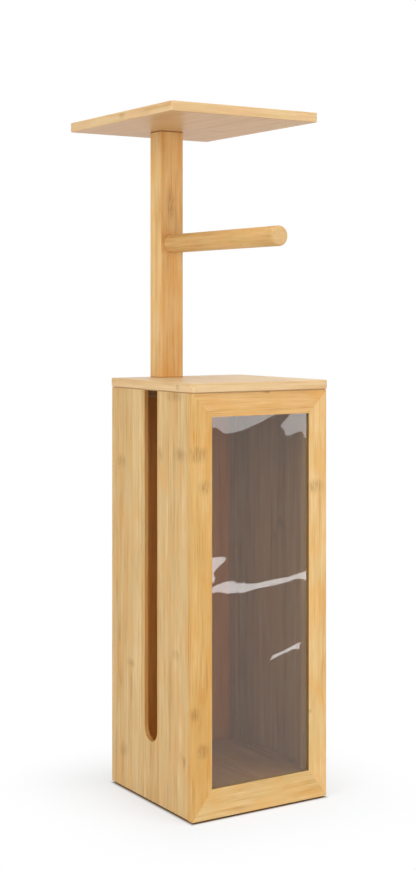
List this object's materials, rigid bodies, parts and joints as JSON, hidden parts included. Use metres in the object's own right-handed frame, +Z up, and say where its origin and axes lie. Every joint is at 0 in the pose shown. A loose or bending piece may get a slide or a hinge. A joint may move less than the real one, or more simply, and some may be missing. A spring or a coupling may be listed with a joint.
{
  "type": "toilet paper stand",
  "caption": "Free-standing bamboo toilet roll stand: tall storage cabinet with a clear window and side slot, lift-off lid carrying a post with roll dowel and top shelf.",
  "frame": {"origin": "on the floor, at the middle of the whole stand's box", "axes": "+Z up, +Y to the back, +X to the right as seen facing the window"},
  "size_m": [0.213, 0.297, 0.777],
  "materials": {
    "bamboo_upright": "clear satin lacquer over bamboo, grain upright",
    "bamboo_frame_upright": "clear satin lacquer over warm bamboo, grain upright",
    "bamboo_crosswise": "clear satin lacquer over warm bamboo, grain from side to side",
    "bamboo_board": "clear satin lacquer over pale bamboo strips",
    "bamboo_lengthwise": "clear satin lacquer over bamboo, grain from front to back",
    "clear_acrylic": "clear polished sheet",
    "zinc_steel": "bright zinc plating",
    "pad_rubber": "soft anti-slip pad"
  },
  "bodies": {
    "cabinet": {"left_side_panel": "bamboo_upright", "right_side_panel": "bamboo_upright", "back_panel": "bamboo_upright", "floor_panel": "bamboo_lengthwise", "left_floor_runner": "bamboo_lengthwise", "right_floor_runner": "bamboo_lengthwise", "front_left_batten": "bamboo_upright", "front_right_batten": "bamboo_upright", "back_left_batten": "bamboo_upright", "back_right_batten": "bamboo_upright", "frame_left_stile": "bamboo_frame_upright", "frame_right_stile": "bamboo_frame_upright", "frame_top_rail": "bamboo_crosswise", "frame_bottom_rail": "bamboo_crosswise", "window_pane": "clear_acrylic", "pane_bead_left": "bamboo_frame_upright", "pane_bead_right": "bamboo_frame_upright", "pane_bead_top": "bamboo_crosswise", "pane_bead_bottom": "bamboo_crosswise", "frame_screws": "zinc_steel", "back_screws": "zinc_steel", "floor_screws": "zinc_steel", "foot_pads": "pad_rubber"},
    "lid_unit": {"lid_board": "bamboo_board", "lid_front_batten": "bamboo_crosswise", "lid_back_batten": "bamboo_crosswise", "lid_batten_screws": "zinc_steel", "post": "bamboo_frame_upright", "post_screws": "zinc_steel", "roll_dowel": "bamboo_lengthwise", "dowel_screw": "zinc_steel", "top_shelf": "bamboo_board", "shelf_screws": "zinc_steel"}
  },
  "joints": [
    {"name": "lid_lift", "type": "slide", "parent": "cabinet", "child": "lid_unit", "axis": [0, 0, 1], "range_m": [0, 0.15]}
  ]
}
